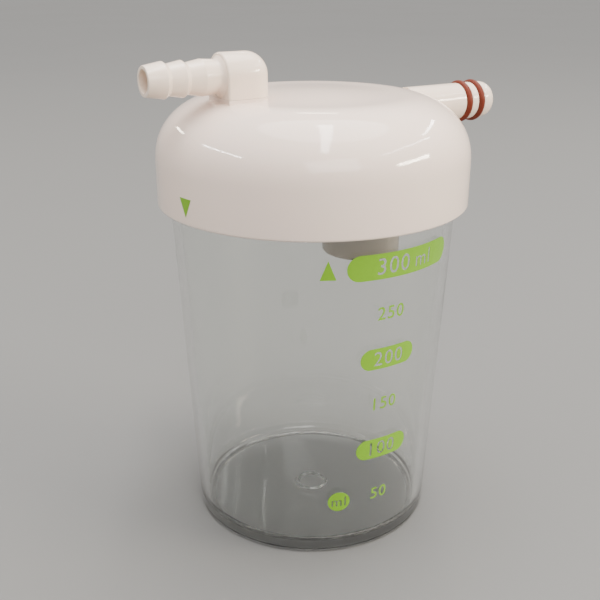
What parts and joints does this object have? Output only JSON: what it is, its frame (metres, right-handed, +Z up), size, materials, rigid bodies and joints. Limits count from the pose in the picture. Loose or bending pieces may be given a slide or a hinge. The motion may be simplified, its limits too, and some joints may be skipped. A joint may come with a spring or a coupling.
{
  "type": "suction collection jar",
  "caption": "Clear graduated suction collection jar with a white domed push-on lid, a barbed swivel inlet, a sealed docking outlet and a float shut-off valve.",
  "frame": {"origin": "centre of the jar's flat underside", "axes": "+Z up along the jar's axis, +Y along the docking outlet, -Y along the inlet barb at rest"},
  "size_m": [0.085, 0.1077, 0.133],
  "materials": {
    "jar_clear": "clear moulded plastic, polished",
    "lid_white": "glossy white moulded plastic",
    "port_cream": "satin cream moulded plastic",
    "seal_silicone": "matt translucent silicone",
    "ring_red": "matt brick-red silicone",
    "scale_print": "screen-printed green ink"
  },
  "bodies": {
    "jar": {"jar": "jar_clear"},
    "seal": {"lid_gasket": "seal_silicone"},
    "lid": {"lid_shell": "lid_white", "outlet_spigot": "port_cream", "spigot_o_ring_inner": "ring_red", "spigot_o_ring_outer": "ring_red", "valve_seat": "lid_white", "float_cage": "port_cream"},
    "float": {"float": "port_cream", "float_seal": "seal_silicone"},
    "elbow": {"elbow_connector": "port_cream", "elbow_o_ring": "ring_red"}
  },
  "joints": [
    {"name": "lid_lift", "type": "slide", "parent": "jar", "child": "seal", "axis": [0, 0, 1], "range_m": [0, 0.06]},
    {"name": "lid_turn", "type": "hinge", "parent": "seal", "child": "lid", "pos_m": [0, 0, 0.1], "axis": [0, 0, 1], "continuous": true},
    {"name": "elbow_swivel", "type": "hinge", "parent": "lid", "child": "elbow", "pos_m": [0, -0.0204, 0.12], "axis": [0, 0, 1], "continuous": true},
    {"name": "float_rise", "type": "slide", "parent": "lid", "child": "float", "axis": [0, 0, 1], "range_m": [0, 0.0068]}
  ]
}
